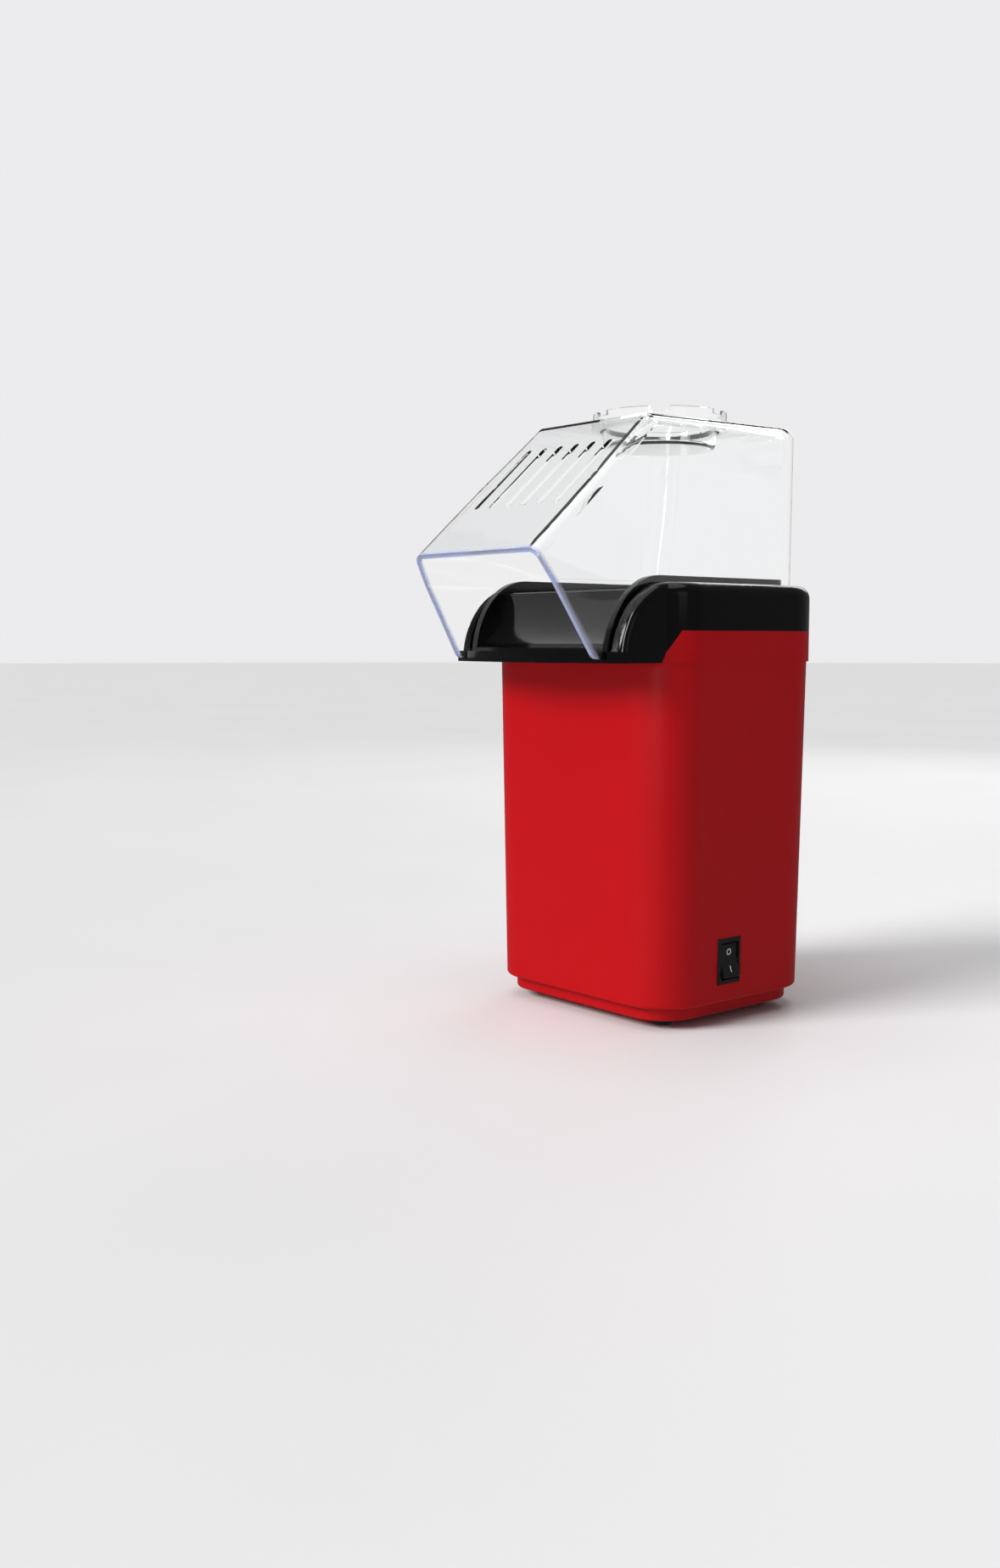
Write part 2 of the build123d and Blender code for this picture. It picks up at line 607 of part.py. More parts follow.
def hood():
    shell = hood_form_rounded(0) - hood_form_rounded(HOOD_WALL)
    clear = SEAT_GAP - GROOVE_DEPTH
    shell -= across(arch(CHUTE_REACH + clear, CHEEK_H + clear), FAR)
    along = (SLOT_START + SLOT_L / 2) / SLOPE_L
    place = Plane(
        origin=(0, HOOD_TIP_Y + SLOPE_RUN * along, HOOD_TIP_Z + SLOPE_RISE * along),
        x_dir=(0, SLOPE_RUN / SLOPE_L, SLOPE_RISE / SLOPE_L),
        z_dir=(0, -SLOPE_RISE / SLOPE_L, SLOPE_RUN / SLOPE_L),
    )
    slot = SlotOverall(SLOT_L, SLOT_W)
    for i in range(SLOT_COUNT):
        x = (i - (SLOT_COUNT - 1) / 2) * SLOT_PITCH
        shell -= extrude(place * (Pos(0, x) * slot), 2 * HOOD_WALL, both=True)
    return shell - rod(CUP_R + HOOD_FIT, HOOD_TOP_Z - 2 * HOOD_WALL, HOOD_TOP_Z + 1, 0, CUP_Y)


def measuring_cup():
    base_z = HOOD_TOP_Z - CUP_DEPTH
    seat_z = HOOD_TOP_Z + SEAT_GAP
    top_z = HOOD_TOP_Z + CUP_RIM_RISE
    foot_r = CUP_R - CUP_DRAFT
    bowl = Pos(0, CUP_Y, (base_z + seat_z) / 2) * Cone(foot_r, CUP_R, seat_z - base_z)
    bowl = fillet(bowl.faces().sort_by(Axis.Z)[0].edges(), CUP_FLOOR_ROUND)
    cup = bowl + rod(CUP_RIM_R, seat_z, seat_z + CUP_WALL, 0, CUP_Y)
    cup += rod(CUP_RIM_R, seat_z, top_z, 0, CUP_Y) - rod(CUP_RIM_R - CUP_WALL, seat_z, top_z + 1, 0, CUP_Y)
    floor_z, over_z = base_z + CUP_WALL, seat_z + CUP_WALL + 1
    hollow = Cone(foot_r - CUP_WALL, CUP_R - CUP_WALL, over_z - floor_z)
    cup -= Pos(0, CUP_Y, (floor_z + over_z) / 2) * hollow
    for i in range(CUP_TABS):
        turn = Pos(0, CUP_Y, top_z) * Rot(0, 0, i * 360 / CUP_TABS + CUP_NOTCH_TURN)
        cup -= turn * Pos(CUP_RIM_R, 0, 0) * Box(4 * CUP_WALL, CUP_NOTCH_W, 2 * CUP_NOTCH_DEPTH)
    return cup


# ---- Popping chamber and heater ------------------------------------------------------------
def chamber_screw_places():
    radius = FLANGE_R - CHAMBER_SCREW_INSET
    return [(radius, 0), (-radius, 0), (0, radius)]


def chamber_screw_bite():
    """How deep the chamber's screws go into the collar's deck."""
    return DECK_T - 0.6


def popping_chamber():
    outer_r = CHAMBER_R + CHAMBER_T
    flat_r = CHAMBER_R - CHAMBER_FLAT
    tip_z = CHAMBER_Z + CHAMBER_CONE
    profile = Polygon(
        (0, tip_z),
        (0, tip_z + CHAMBER_T),
        (flat_r, CHAMBER_Z + CHAMBER_T),
        (CHAMBER_R, CHAMBER_Z + CHAMBER_T),
        (CHAMBER_R, FLANGE_TOP_Z),
        (FLANGE_R, FLANGE_TOP_Z),
        (FLANGE_R, FLANGE_Z),
        (outer_r, FLANGE_Z),
        (outer_r, CHAMBER_Z),
        (flat_r, CHAMBER_Z),
        align=None,
    )
    pot = revolve(Plane.XZ * profile, Axis.Z)
    slit = Pos(CHAMBER_R, 0, CHAMBER_Z + SLIT_RISE) * Rot(SLIT_TILT, 0, 0) * Box(4, SLIT_W, SLIT_L)
    for i in range(SLIT_COUNT):
        pot -= Rot(0, 0, i * 360 / SLIT_COUNT) * slit
    for x, y in chamber_screw_places():
        pot -= rod(SCREW_R + SCREW_HOLE_FIT, FLANGE_Z - 1, FLANGE_TOP_Z + 1, x, y)
    return pot


def chamber_seal():
    seal = rod(FLANGE_R, FLANGE_TOP_Z, UNDER_Z) - rod(CHAMBER_R, FLANGE_TOP_Z - 1, UNDER_Z + 1)
    for x, y in chamber_screw_places():
        seal -= rod(SCREW_R + SCREW_HOLE_FIT, FLANGE_Z - 1, UNDER_Z + 1, x, y)
    return seal


def chamber_screws():
    length = CHAMBER_T + SEAL_T + chamber_screw_bite()
    return [screw(FLANGE_Z, length, x, y) for x, y in chamber_screw_places()]


def heat_duct():
    hollow = rod(DUCT_R, DUCT_Z - 1, DUCT_TOP_Z - DUCT_T)
    duct = rod(DUCT_OUTER_R, DUCT_Z, DUCT_TOP_Z) + rod(DUCT_FLANGE_R, DUCT_Z, DUCT_Z + DUCT_T) - hollow
    duct -= rod(CHAMBER_R + CHAMBER_T + DUCT_POT_FIT, DUCT_TOP_Z - 2, DUCT_TOP_Z + 1)
    for x, y in duct_screw_places():
        duct -= rod(SCREW_R + SCREW_HOLE_FIT, DUCT_Z - 1, DUCT_Z + 2, x, y)
    return duct


def duct_screw_places():
    radius = DUCT_OUTER_R + SCREW_R + 0.6
    return [(radius * cos(radians(a)), radius * sin(radians(a))) for a in (45, 135, 225, 315)]


def duct_screws():
    """Screws driven down through the duct's flange into the fan housing."""
    top = DUCT_Z + DUCT_T
    screws = []
    for x, y in duct_screw_places():
        head = rod(SCREW_R + 0.6, top, top + 1.4, x, y)
        screws.append(head + rod(SCREW_R, DUCT_Z - 7.2, top, x, y))
    return screws


def coil_levels():
    return [DUCT_Z + COIL_RISE + COIL_PITCH * i for i in range(COIL_TURNS)]


def heater_plates():
    """Two mica plates halved into each other, notched for the heating wire."""
    low = DUCT_Z + PLATE_FIT
    half_t = PLATE_T / 2
    reach = DUCT_R - PLATE_FIT
    plate = box_at(-reach, reach, -half_t, half_t, low, DUCT_Z + PLATE_FOOT_H)
    plate += box_at(-COIL_R, COIL_R, -half_t, half_t, low, DUCT_Z + PLATE_H)
    for z in coil_levels():
        plate -= Pos(0, 0, z) * Torus(COIL_R, COIL_WIRE + 0.1)
    middle = DUCT_Z + PLATE_H / 2
    upper_half = box_at(-half_t, half_t, -5, 5, middle, DUCT_Z + FAR)
    lower_half = box_at(-half_t, half_t, -5, 5, 0, middle)
    return [plate - upper_half, Rot(0, 0, 90) * (plate - lower_half)]


def heater_coil():
    levels = coil_levels()
    coil = Pos(0, 0, levels[0]) * Torus(COIL_R, COIL_WIRE)
    for z in levels[1:]:
        coil += Pos(0, 0, z) * Torus(COIL_R, COIL_WIRE)
    angle = radians(30)
    return coil + rod(COIL_WIRE * 0.6, levels[0], levels[-1], COIL_R * cos(angle), COIL_R * sin(angle))


def thermostat():
    """A disc thermostat on the duct's left side, with its two tabs."""
    face = -DUCT_OUTER_R
    z = DUCT_Z + THERMOSTAT_RISE
    back = face - THERMOSTAT_T - 2
    made = Pos(face - THERMOSTAT_T / 2, 0, z) * Rot(0, 90, 0) * Cylinder(THERMOSTAT_R, THERMOSTAT_T)
    made += Pos(back + 1, 0, z) * Rot(0, 90, 0) * Cylinder(THERMOSTAT_R - 2, 2)
    for y in (-2.9, 2.9):
        made += box_at(back - 5, back, y - TERMINAL_T / 2, y + TERMINAL_T / 2, z - 2.4, z + 2.4)
    return made


def thermal_fuse():
    """A thermal fuse on the face of one mica plate."""
    return Pos(FUSE_X, PLATE_T / 2 + FUSE_R, DUCT_Z + FUSE_RISE) * Rot(0, 90, 0) * Cylinder(FUSE_R, FUSE_L)


# ---- Fan and motor -------------------------------------------------------------------------
def fan_housing():
    top = DUCT_Z
    floor_z = FAN_BOX_Z + FAN_BOX_T
    drum = rod(DUCT_OUTER_R, FAN_BOX_Z, top) + rod(DUCT_FLANGE_R, top - FAN_BOX_RIM_H, top)
    for x, y in duct_screw_places():
        drum += rod(SCREW_R + 1.6, top - 9, top, x, y)
    drum -= rod(FAN_ROOM_R, floor_z, top + 1)
    inlet = rod(INLET_R, FAN_BOX_Z - 1, floor_z + 1) - rod(MOTOR_R + INLET_HUB_W, FAN_BOX_Z - 2, floor_z + 2)
    for i in range(4):
        spoke = box_at(MOTOR_R, INLET_R + 4, -SPOKE_W / 2, SPOKE_W / 2, 0, floor_z + 2)
        inlet -= Rot(0, 0, 45 + 90 * i) * spoke
    drum -= inlet
    drum -= rod(MOTOR_BOSS_R + MOTOR_BOSS_FIT, FAN_BOX_Z - 1, floor_z + 1)
    for x, y in duct_screw_places():
        drum -= rod(SCREW_R, top - 7.3, top + 1, x, y)
    for x in (-MOTOR_SCREW_X, MOTOR_SCREW_X):
        drum -= rod(MOTOR_SCREW_R, FAN_BOX_Z - 1, floor_z + 1, x, 0)
    return drum


def motor_screws():
    top = FAN_BOX_Z + FAN_BOX_T
    screws = []
    for x in (-MOTOR_SCREW_X, MOTOR_SCREW_X):
        head = rod(MOTOR_SCREW_R + 0.95, top, top + 1.4, x, 0)
        screws.append(head + rod(MOTOR_SCREW_R, FAN_BOX_Z - MOTOR_T, top, x, 0))
    return screws


def motor_can():
    can = rod(MOTOR_R, MOTOR_Z, FAN_BOX_Z) - rod(MOTOR_R - MOTOR_T, MOTOR_Z - 1, FAN_BOX_Z - MOTOR_T)
    can += rod(MOTOR_BOSS_R, FAN_BOX_Z - 3, FAN_BOX_Z + MOTOR_BOSS_H)
    can -= rod(SHAFT_R + BEARING_FIT, MOTOR_Z - 1, FAN_BOX_Z + 5)
    for x in (-MOTOR_SCREW_X, MOTOR_SCREW_X):
        can -= rod(MOTOR_SCREW_R, FAN_BOX_Z - 3, FAN_BOX_Z + 1, x, 0)
    return can


def motor_magnets():
    inside_r = MOTOR_R - MOTOR_T
    ring = rod(inside_r, MOTOR_Z + 3, FAN_BOX_Z - 6) - rod(inside_r - MAGNET_T, 0, FAR)
    return ring - box_at(-4, 4, -2 * MOTOR_R, 2 * MOTOR_R, 0, FAR)


def motor_end_bell():
    low = MOTOR_Z - BELL_H
    bell = rod(MOTOR_R, low, MOTOR_Z) - rod(MOTOR_R - 3, low + BELL_FLOOR, MOTOR_Z + 1)
    bell += rod(BELL_HUB_R, low, MOTOR_Z - 0.5)
    return bell - rod(SHAFT_R + BEARING_FIT, low + 1.5, MOTOR_Z + 1)


def rotor():
    """The motor's three-pole armature with its commutator."""
    low, high = MOTOR_Z + 5, FAN_BOX_Z - 8
    core = rod(ROTOR_R, low, high)
    for i in range(3):
        turn = Rot(0, 0, 120 * i)
        core -= turn * box_at(ROTOR_R - 4.5, ROTOR_R + 1, -1.2, 1.2, low - 1, high + 1)
        core -= turn * rod(2.2, low - 1, high + 1, ROTOR_R - 4.2, 0)
    core += rod(3, MOTOR_Z + 0.6, low)
    return core - rod(SHAFT_R, 0, FAR)


def clip_level():
    """The top of the fan's hub, where the clip sits."""
    return FAN_Z + BLADE_H + 2


def motor_shaft():
    return rod(SHAFT_R, MOTOR_Z - BELL_H + 1.8, clip_level() + 3)


def fan():
    wheel = rod(FAN_R, FAN_Z, FAN_Z + FAN_DISC_T) + rod(FAN_HUB_R, FAN_Z, clip_level())
    start_r, end_r = FAN_HUB_R + 4, FAN_R - 0.5
    blade_path = ThreePointArc((start_r, 0), ((start_r + end_r) / 2, BLADE_BOW), (end_r, 0))
    blade = extrude(Pos(0, 0, FAN_Z + 1) * trace(blade_path, BLADE_T), BLADE_H)
    for i in range(FAN_BLADES):
        wheel += Rot(0, 0, i * 360 / FAN_BLADES) * blade
    return wheel - rod(SHAFT_R, 0, FAR)


def fan_clip():
    """A push-on star washer that keeps the fan on its shaft."""
    z = clip_level()
    clip = rod(CLIP_R, z, z + CLIP_T) - rod(SHAFT_R, 0, FAR)
    for i in range(6):
        clip -= Rot(0, 0, 60 * i) * box_at(0, 2.6, -0.35, 0.35, z - 1, z + 2)
    return clip


def rectifier_board():
    top = MOTOR_Z - BELL_H
    return rod(MOTOR_R - 1, top - BOARD_T, top)


def rectifier_diodes():
    z = MOTOR_Z - BELL_H - BOARD_T - DIODE_R
    diode = Rot(0, 90, 0) * Cylinder(DIODE_R, DIODE_L)
    return [Pos(6 * sx, 4 * sy, z) * diode for sx, sy in CORNERS]


# ---- Switch --------------------------------------------------------------------------------
def switch_body():
    face = SWITCH_FACE_X
    frame = switch_block(face, face + BEZEL_T, BEZEL_W / 2, BEZEL_L / 2)
    frame = fillet(frame.edges().filter_by(Axis.X), 1.5)
    frame = chamfer(frame.faces().sort_by(Axis.X)[-1].edges(), 0.6)
    box = switch_block(face - SWITCH_D, face, SWITCH_W / 2, SWITCH_L / 2)
    well = switch_block(face - WELL_DEPTH, FAR, ROCKER_W / 2 + 0.4, ROCKER_L / 2 + 0.7)
    pin = Rot(90, 0, 0) * Cylinder(ROCKER_PIN_R + BEARING_FIT, ROCKER_W + 2)
    return frame + box - well - Pos(PIVOT_X, SWITCH_Y, SWITCH_Z) * pin


def switch_rocker():
    """The rocker with its O end pushed in, which is the off position."""
    half = ROCKER_L / 2
    rise = half * tan(radians(ROCKER_TILT))
    side = Polygon(
        (-4.5, -3),
        (-2.0, -half),
        (0.6 + rise, -half),
        (0.6, 0),
        (0.6 + rise, half),
        (-2.0, half),
        (-4.5, 3),
        align=None,
    )
    key = extrude(Plane.XZ.offset(-ROCKER_W / 2) * side, ROCKER_W)
    key = fillet(key.edges().filter_by(Axis.Y).filter_by(lambda e: e.center().X > rise), 0.6)
    key += Rot(90, 0, 0) * Cylinder(ROCKER_PIN_R, ROCKER_W + 1.6)
    return Pos(PIVOT_X, SWITCH_Y, SWITCH_Z) * Rot(0, -ROCKER_TILT, 0) * key


def switch_terminals():
    back = SWITCH_FACE_X - SWITCH_D
    blade = Box(TERMINAL_L, TERMINAL_W, TERMINAL_T)
    levels = (SWITCH_Z - TERMINAL_PITCH / 2, SWITCH_Z + TERMINAL_PITCH / 2)
    return [Pos(back - TERMINAL_L / 2, SWITCH_Y, z) * blade for z in levels]


PIECES = [
    body_housing, base_plate, feet, base_screws, cord_gland, chute_collar, collar_screws, hood,
    measuring_cup, popping_chamber, chamber_seal, chamber_screws, heat_duct, duct_screws, heater_plates,
    heater_coil, thermostat, thermal_fuse, fan_housing, motor_screws, motor_can, motor_magnets,
    motor_end_bell, rotor, motor_shaft, fan, fan_clip, rectifier_board, rectifier_diodes, switch_body,
    switch_rocker, switch_terminals,
]

os.makedirs("parts", exist_ok=True)
for piece in PIECES:
    save(piece.__name__, piece())
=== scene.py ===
"""The popcorn maker's looks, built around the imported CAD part: a procedural material for every node,
the white marks on the rocker, and a plain pale studio. Metres, +Z up, the chute towards -Y."""
import json
import math

import bpy
from mathutils import Matrix, Vector


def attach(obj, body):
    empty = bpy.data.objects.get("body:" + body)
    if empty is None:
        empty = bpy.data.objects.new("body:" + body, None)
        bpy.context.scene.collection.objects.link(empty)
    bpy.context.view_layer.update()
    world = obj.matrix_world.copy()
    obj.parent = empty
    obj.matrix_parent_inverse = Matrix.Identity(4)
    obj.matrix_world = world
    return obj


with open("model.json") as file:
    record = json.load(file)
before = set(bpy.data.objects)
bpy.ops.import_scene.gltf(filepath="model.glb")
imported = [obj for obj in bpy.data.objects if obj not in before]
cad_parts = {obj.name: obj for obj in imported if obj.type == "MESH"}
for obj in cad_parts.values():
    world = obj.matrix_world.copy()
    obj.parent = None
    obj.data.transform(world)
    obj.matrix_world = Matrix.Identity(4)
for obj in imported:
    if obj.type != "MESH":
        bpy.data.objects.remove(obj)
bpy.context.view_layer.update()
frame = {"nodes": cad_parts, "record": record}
RECORD = frame["record"]

# ---- The part, in metres --------------------------------------------------------------------
AXIS_Y = 0.0277                      # the fan's upright axis, along Y
MOUTH_INWARD = (0, 0.847, 0.532)     # square to the plane of the hood's mouth, pointing into the hood
MOUTH_DEPTH = 0.04274                # that plane's place along it
RIM_SHARP, RIM_FADE = 0.0005, 0.0023 # how deep the rim's painted light is full, and where it ends

# ---- Noise and clear plastic ----------------------------------------------------------------
NOISE_LOW, NOISE_HIGH = 0.3, 0.7     # nearly all of a noise texture's values lie between these
NOISE_ROUGHNESS = 0.55
DRIFT_DETAIL, GRAIN_DETAIL = 3.0, 2.0
GRAIN_STRENGTH = 0.35
GLOSS_SCALE = 2.3                    # the drift of the gloss, finer than the drift of the colour
CLEAR_IOR = 1.38
CLEAR_SHADOW = (0.96, 0.97, 0.97, 1)
RIM_NOISE, CLEAR_NOISE = 140.0, 35.0
RIM_UNEVEN = 0.55                    # the least share of the rim's painted light
RIM_CLEARNESS = 0.35                 # the transmission left where the painted rim light is full


# ---- Material nodes -------------------------------------------------------------------------
def link(tree, a, b):
    tree.links.new(a, b)


def new_material(name):
    """A material with one Principled shader: itself, its tree, the shader, object coordinates, the output."""
    material = bpy.data.materials.new(name)
    material.use_nodes = True
    tree = material.node_tree
    tree.nodes.clear()
    out = tree.nodes.new("ShaderNodeOutputMaterial")
    shader = tree.nodes.new("ShaderNodeBsdfPrincipled")
    link(tree, shader.outputs["BSDF"], out.inputs["Surface"])
    coords = tree.nodes.new("ShaderNodeTexCoord")
    return material, tree, shader, coords.outputs["Object"], out


def noise(tree, coords, scale, detail=DRIFT_DETAIL, stretch=None):
    if stretch:
        mapping = tree.nodes.new("ShaderNodeMapping")
        mapping.inputs["Scale"].default_value = stretch
        link(tree, coords, mapping.inputs["Vector"])
        coords = mapping.outputs["Vector"]
    texture = tree.nodes.new("ShaderNodeTexNoise")
    texture.inputs["Scale"].default_value = scale
    texture.inputs["Detail"].default_value = detail
    texture.inputs["Roughness"].default_value = NOISE_ROUGHNESS
    link(tree, coords, texture.inputs["Vector"])
    return texture.outputs["Fac"]


def ramp(tree, fac, start, end):
    """A colour ramp between two stops, each a place and a colour."""
    node = tree.nodes.new("ShaderNodeValToRGB")
    link(tree, fac, node.inputs["Fac"])
    for element, (place, colour) in zip(node.color_ramp.elements, (start, end)):
        element.position, element.color = place, (*colour, 1)
    return node.outputs["Color"]


def remap(tree, fac, low, high, from_low=NOISE_LOW, from_high=NOISE_HIGH):
    node = tree.nodes.new("ShaderNodeMapRange")
    node.inputs["From Min"].default_value = from_low
    node.inputs["From Max"].default_value = from_high
    node.inputs["To Min"].default_value = low
    node.inputs["To Max"].default_value = high
    link(tree, fac, node.inputs["Value"])
    return node.outputs["Result"]


def bump(tree, shader, height, distance):
    node = tree.nodes.new("ShaderNodeBump")
    node.inputs["Strength"].default_value = GRAIN_STRENGTH
    node.inputs["Distance"].default_value = distance
    link(tree, height, node.inputs["Height"])
    link(tree, node.outputs["Normal"], shader.inputs["Normal"])


def solid(name, colour, rough, spread=0.03, metallic=0.0, coat=0.0, coat_rough=0.03, scale=60.0,
          grain=900.0, grain_depth=0.00002, rough_spread=0.04, specular=0.5, stretch=None):
    """A moulded, painted or metal surface: a faint drift of colour and gloss, and a fine grain."""
    material, tree, shader, coords, _ = new_material(name)
    dark = [c * (1 - spread) for c in colour]
    light = [min(1.0, c * (1 + spread)) for c in colour]
    drift = ramp(tree, noise(tree, coords, scale), (NOISE_LOW, dark), (NOISE_HIGH, light))
    link(tree, drift, shader.inputs["Base Color"])
    wear = noise(tree, coords, scale * GLOSS_SCALE, stretch=stretch)
    gloss = remap(tree, wear, max(0.0, rough - rough_spread), rough + rough_spread)
    link(tree, gloss, shader.inputs["Roughness"])
    shader.inputs["Metallic"].default_value = metallic
    shader.inputs["Specular IOR Level"].default_value = specular
    shader.inputs["Coat Weight"].default_value = coat
    shader.inputs["Coat Roughness"].default_value = coat_rough
    bump(tree, shader, noise(tree, coords, grain, GRAIN_DETAIL, stretch), grain_depth)
    return material


def clear(name, tint, painted_rim_colour, rough=0.03):
    """Clear moulded plastic. The hood's mouth rim, where the wall is seen end on, has painted light: a milky
    blue with less transmission, standing in for the light that the end-on edge catches.
    """
    material, tree, shader, coords, out = new_material(name)
    depth = tree.nodes.new("ShaderNodeVectorMath")
    depth.operation = "DOT_PRODUCT"
    link(tree, coords, depth.inputs[0])
    depth.inputs[1].default_value = MOUTH_INWARD
    edge = remap(tree, depth.outputs["Value"], 1.0, 0.0, MOUTH_DEPTH + RIM_SHARP, MOUTH_DEPTH + RIM_FADE)
    uneven = tree.nodes.new("ShaderNodeMath")
    uneven.operation = "MULTIPLY"
    link(tree, edge, uneven.inputs[0])
    link(tree, remap(tree, noise(tree, coords, RIM_NOISE), RIM_UNEVEN, 1.0), uneven.inputs[1])
    # painted light: the blue and the lost transmission on the rim stand in for light caught by the mouth's
    # end-on edge
    painted_rim_light = uneven.outputs["Value"]
    link(tree, ramp(tree, painted_rim_light, (0.0, tint), (1.0, painted_rim_colour)), shader.inputs["Base Color"])
    link(tree, remap(tree, painted_rim_light, 1.0, RIM_CLEARNESS, 0.0, 1.0), shader.inputs["Transmission Weight"])
    shader.inputs["IOR"].default_value = CLEAR_IOR
    gloss = remap(tree, noise(tree, coords, CLEAR_NOISE), rough * 0.5, rough * 1.5)
    link(tree, gloss, shader.inputs["Roughness"])
    through = tree.nodes.new("ShaderNodeBsdfTransparent")
    through.inputs["Color"].default_value = CLEAR_SHADOW
    path = tree.nodes.new("ShaderNodeLightPath")
    mix = tree.nodes.new("ShaderNodeMixShader")
    link(tree, path.outputs["Is Shadow Ray"], mix.inputs["Fac"])
    link(tree, shader.outputs["BSDF"], mix.inputs[1])
    link(tree, through.outputs["BSDF"], mix.inputs[2])
    link(tree, mix.outputs["Shader"], out.inputs["Surface"])
    return material


# ---- One material for each slot in the record -----------------------------------------------
METAL = {"metallic": 1.0}
DRAWN = {"metallic": 1.0, "stretch": (1.0, 1.0, 0.08)}     # sheet with its grain running upwards
SOLIDS = {
    "red_shell": dict(colour=(0.44, 0.001, 0.004), rough=0.36, spread=0.02, coat=0.03, coat_rough=0.14,
                      scale=16, grain_depth=0.000008, rough_spread=0.02, specular=0.14),
    "black_collar": dict(colour=(0.0016, 0.0016, 0.0018), rough=0.1, spread=0.12, scale=30,
                         grain_depth=0.000006, rough_spread=0.02, specular=0.3),
    "chamber_aluminium": dict(colour=(0.74, 0.74, 0.75), rough=0.28, spread=0.05, scale=40,
                              metallic=1.0, stretch=(1, 1, 0.1)),
    "duct_steel": dict(colour=(0.55, 0.56, 0.58), rough=0.36, spread=0.12, scale=90, **DRAWN),
    "fan_plastic": dict(colour=(0.03, 0.03, 0.033), rough=0.5, spread=0.1),
    "fan_wheel": dict(colour=(0.78, 0.76, 0.7), rough=0.42, spread=0.04),
    "mica": dict(colour=(0.56, 0.48, 0.33), rough=0.5, spread=0.25, scale=150, stretch=(1, 1, 6)),
    "heating_wire": dict(colour=(0.34, 0.31, 0.29), rough=0.4, spread=0.2, scale=200, **METAL),
    "seal_felt": dict(colour=(0.7, 0.67, 0.58), rough=0.9, spread=0.1, scale=200, grain=1500,
                      grain_depth=0.0002),
    "motor_steel": dict(colour=(0.56, 0.57, 0.6), rough=0.3, spread=0.06, scale=80, **DRAWN),
    "magnet_ferrite": dict(colour=(0.06, 0.06, 0.065), rough=0.6, spread=0.15),
    "end_bell_plastic": dict(colour=(0.8, 0.78, 0.7), rough=0.45),
    "shaft_steel": dict(colour=(0.75, 0.75, 0.78), rough=0.15, **METAL),
    "board_laminate": dict(colour=(0.34, 0.2, 0.07), rough=0.5, spread=0.15, scale=160, stretch=(4, 1, 1)),
    "diode_black": dict(colour=(0.02, 0.02, 0.02), rough=0.35, spread=0.1),
    "thermostat_bakelite": dict(colour=(0.035, 0.022, 0.016), rough=0.35, spread=0.2),
    "fuse_metal": dict(colour=(0.62, 0.47, 0.2), rough=0.3, spread=0.08, **METAL),
    "switch_black": dict(colour=(0.008, 0.008, 0.009), rough=0.28, spread=0.1, scale=120),
    "terminal_brass": dict(colour=(0.7, 0.52, 0.2), rough=0.28, spread=0.08, **METAL),
    "rubber_black": dict(colour=(0.012, 0.012, 0.013), rough=0.65, spread=0.15, grain=1300,
                         grain_depth=0.00005),
    "screw_steel": dict(colour=(0.6, 0.61, 0.64), rough=0.3, spread=0.08, scale=120, **METAL),
}
MATERIALS = {name: solid(name, **look) for name, look in SOLIDS.items()}
# the second colour is the painted light on the hood's mouth rim
MATERIALS["clear_cover"] = clear("clear_cover", (0.985, 0.995, 0.99), (0.40, 0.47, 0.78))
for part in RECORD["subparts"]:
    node = frame["nodes"][part["node"]]
    node.data.materials.clear()
    node.data.materials.append(MATERIALS[part["material_slot"]])


# ---- Marks on the rocker --------------------------------------------------------------------
def mesh_object(name, verts, faces, material):
    mesh = bpy.data.meshes.new(name)
    mesh.from_pydata(verts, [], faces)
    mesh.update()
    made = bpy.data.objects.new(name, mesh)
    bpy.context.scene.collection.objects.link(made)
    mesh.materials.append(material)
    return made


def ring_mesh(inner, outer, height, steps=40):
    """A flat ring with a square section."""
    section = ((inner, 0), (outer, 0), (outer, height), (inner, height))
    turns = [2 * math.pi * i / steps for i in range(steps)]
    verts = [(r * math.cos(a), r * math.sin(a), z) for a in turns for r, z in section]
    faces = []
    for i in range(steps):
        here, there = 4 * i, 4 * ((i + 1) % steps)
        for k in range(4):
            after = (k + 1) % 4
            faces.append((here + k, there + k, there + after, here + after))
    return verts, faces


def bar_mesh(width, length, height):
    w, l = width / 2, length / 2
    verts = [(x, y, z) for z in (0, height) for x, y in ((-w, -l), (w, -l), (w, l), (-w, l))]
    faces = [(3, 2, 1, 0), (4, 5, 6, 7), (0, 1, 5, 4), (1, 2, 6, 5), (2, 3, 7, 6), (3, 0, 4, 7)]
    return verts, faces


PIVOT = Vector((0.0596, AXIS_Y - 0.0095, 0.0292))
TILT = math.radians(10)              # each half of the rocker's face leans this far from its middle
KEY_HALF = 0.0078                    # the length of one half of the face
KEY_FACE = 0.0006                    # from the pivot out to the middle of the face
MARK_HEIGHT = 0.00006
MARK_GAP = 0.00001                   # keeps a mark's back just off the face
RING_INNER, RING_OUTER = 0.00105, 0.00145
BAR_WIDTH, BAR_LENGTH = 0.00045, 0.0031
WHITE = solid("mark_white", (0.82, 0.82, 0.8), 0.45)


def on_key(side):
    """The frame of one half of the rocker's face: the middle of the half, up the face, and outwards."""
    z = side * KEY_HALF / 2
    x = KEY_FACE + abs(z) * math.tan(TILT)
    turn = Matrix.Rotation(-TILT, 4, "Y")
    place = turn @ Vector((x, 0, z))
    out = turn @ Vector((math.cos(TILT), 0, -side * math.sin(TILT)))
    up_face = out.cross(Vector((0, 1, 0))) * -1
    across = up_face.cross(out)
    key = Matrix((across, up_face, out)).transposed().to_4x4()
    key.translation = PIVOT + place + out * MARK_GAP
    return key


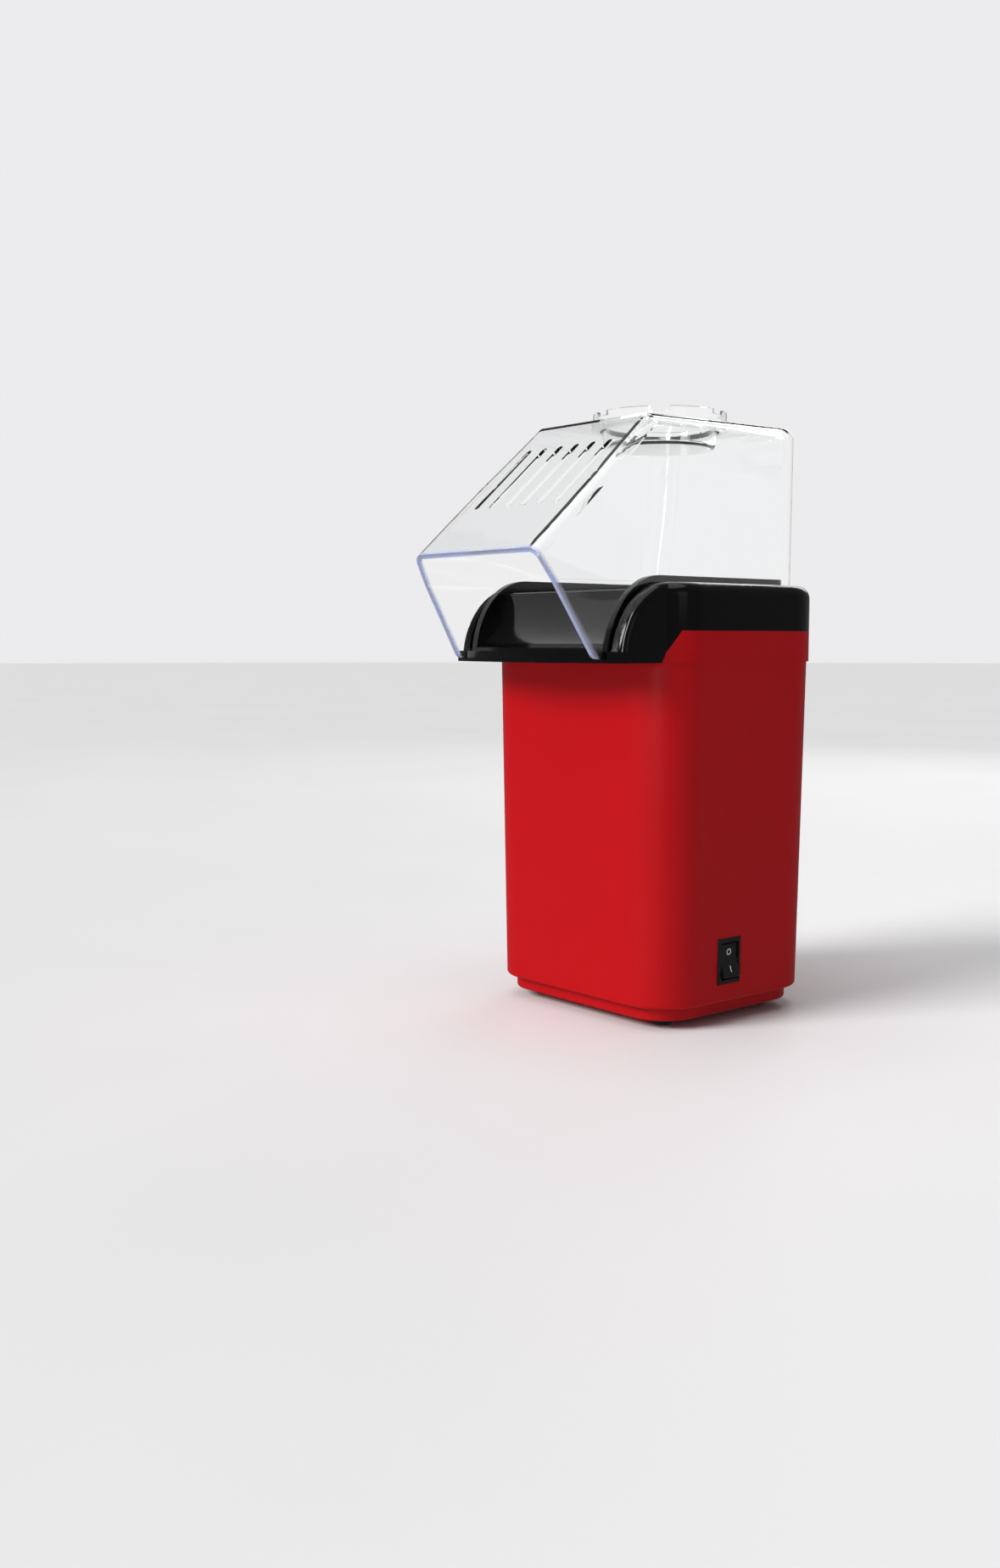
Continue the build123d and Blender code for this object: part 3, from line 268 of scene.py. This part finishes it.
for name, side, shape in (
    ("rocker_mark_off", 1, ring_mesh(RING_INNER, RING_OUTER, MARK_HEIGHT)),
    ("rocker_mark_on", -1, bar_mesh(BAR_WIDTH, BAR_LENGTH, MARK_HEIGHT)),
):
    mark = mesh_object(name, *shape, WHITE)
    mark.data.transform(on_key(side))
    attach(mark, "rocker")


# ---- Studio ---------------------------------------------------------------------------------
FLOOR_RADIUS = 12.0
PART_MIDDLE = (0, 0, 0.12)


def disc_mesh(radius, rings=5, steps=64):
    """A flat disc whose rings widen outwards."""
    turns = [2 * math.pi * i / steps for i in range(steps)]
    verts, faces = [(0, 0, 0)], [(0, 1 + i, 1 + (i + 1) % steps) for i in range(steps)]
    for ring in range(1, rings + 1):
        r = radius * (ring / rings) ** 2
        verts += [(r * math.cos(a), r * math.sin(a), 0) for a in turns]
    for ring in range(rings - 1):
        a, b = 1 + ring * steps, 1 + (ring + 1) * steps
        faces += [(a + i, b + i, b + (i + 1) % steps, a + (i + 1) % steps) for i in range(steps)]
    return verts, faces


FLOOR = solid("studio_floor", (0.89, 0.885, 0.89), 0.6, spread=0.01, scale=3, grain_depth=0.00001)
studio = mesh_object("studio", *disc_mesh(FLOOR_RADIUS), FLOOR)
studio.visible_glossy = False        # the gloss reflects the dim surroundings and not the floor


def add_lamp(name, data, power, direction):
    data.energy = power
    lamp = bpy.data.objects.new(name, data)
    bpy.context.scene.collection.objects.link(lamp)
    lamp.rotation_euler = direction.to_track_quat("-Z", "Y").to_euler()
    return lamp


def area_light(name, place, target, size, power):
    data = bpy.data.lights.new(name, "AREA")
    data.shape = "RECTANGLE"
    data.size, data.size_y = size
    lamp = add_lamp(name, data, power, Vector(target) - Vector(place))
    lamp.location = place
    return lamp


def sun(name, towards, power, angle):
    """An even, soft light from one side, the same over the whole floor."""
    data = bpy.data.lights.new(name, "SUN")
    data.angle = math.radians(angle)
    add_lamp(name, data, power, Vector(towards))


sun("key", (0.22, 1.0, -0.62), 2.85, 26)
sun("top", (0.05, 0.1, -1.0), 0.95, 60)
area_light("fill", (1.4, -0.2, 0.6), PART_MIDDLE, (0.5, 0.8), 0.45)
sheen = area_light("sheen", (0.43, -0.76, 0.69), (0.05, -0.04, 0.19), (0.12, 1.0), 8)
sheen.visible_diffuse = False        # only the highlight along the collar's cheek
area_light("rim", (-0.7, 1.4, 0.9), (0, 0, 0.2), (0.7, 0.7), 3)


# ---- Surroundings: a pale backdrop that is seen, and a dimmer one that lights and reflects ---
BACKDROP = (0.84, 0.83, 0.845, 1)
AMBIENT, AMBIENT_STRENGTH = (0.93, 0.93, 0.96, 1), 0.16
THROUGH_HOOD = 0.09                  # how much brighter the backdrop is through the clear hood

world = bpy.data.worlds.new("world")
bpy.context.scene.world = world
world.use_nodes = True
sky = world.node_tree
sky.nodes.clear()
seen = sky.nodes.new("ShaderNodeBackground")
seen.inputs["Color"].default_value = BACKDROP
ambient = sky.nodes.new("ShaderNodeBackground")
ambient.inputs["Color"].default_value = AMBIENT
ambient.inputs["Strength"].default_value = AMBIENT_STRENGTH
ray = sky.nodes.new("ShaderNodeLightPath")
behind = sky.nodes.new("ShaderNodeMath")
behind.operation = "MULTIPLY_ADD"
link(sky, ray.outputs["Is Transmission Ray"], behind.inputs[0])
behind.inputs[1].default_value = THROUGH_HOOD
behind.inputs[2].default_value = 1.0
link(sky, behind.outputs["Value"], seen.inputs["Strength"])
direct = sky.nodes.new("ShaderNodeMath")
direct.operation = "MAXIMUM"
link(sky, ray.outputs["Is Camera Ray"], direct.inputs[0])
link(sky, ray.outputs["Is Transmission Ray"], direct.inputs[1])
both = sky.nodes.new("ShaderNodeMixShader")
link(sky, direct.outputs["Value"], both.inputs["Fac"])
link(sky, ambient.outputs["Background"], both.inputs[1])
link(sky, seen.outputs["Background"], both.inputs[2])
link(sky, both.outputs["Shader"], sky.nodes.new("ShaderNodeOutputWorld").inputs["Surface"])

# ---- Camera: looking from the front right, slightly down ------------------------------------
CAM_AZIMUTH, CAM_PITCH = math.radians(50.35), math.radians(5.3)
CAM_DISTANCE, CAM_RIGHT, CAM_UP = 0.740, -0.07264, -0.03512
CAM_AIM = Vector((0, AXIS_Y, 0.140))
IMAGE_H = 1848
FOCAL_PX = 1814.0
SENSOR = 36.0

level = math.cos(CAM_PITCH)
back = Vector((math.sin(CAM_AZIMUTH) * level, -math.cos(CAM_AZIMUTH) * level, math.sin(CAM_PITCH)))
right = Vector((math.cos(CAM_AZIMUTH), math.sin(CAM_AZIMUTH), 0))
up = back.cross(right)
camera_data = bpy.data.cameras.new("camera")
camera_data.sensor_fit = "VERTICAL"
camera_data.sensor_height = SENSOR
camera_data.lens = FOCAL_PX / IMAGE_H * SENSOR
camera_data.clip_start = 0.05
camera = bpy.data.objects.new("camera", camera_data)
bpy.context.scene.collection.objects.link(camera)
pose = Matrix((right, up, back)).transposed().to_4x4()
pose.translation = CAM_AIM + back * CAM_DISTANCE + right * CAM_RIGHT + up * CAM_UP
camera.matrix_world = pose
bpy.context.scene.camera = camera

bpy.context.scene.view_settings.view_transform = "Standard"
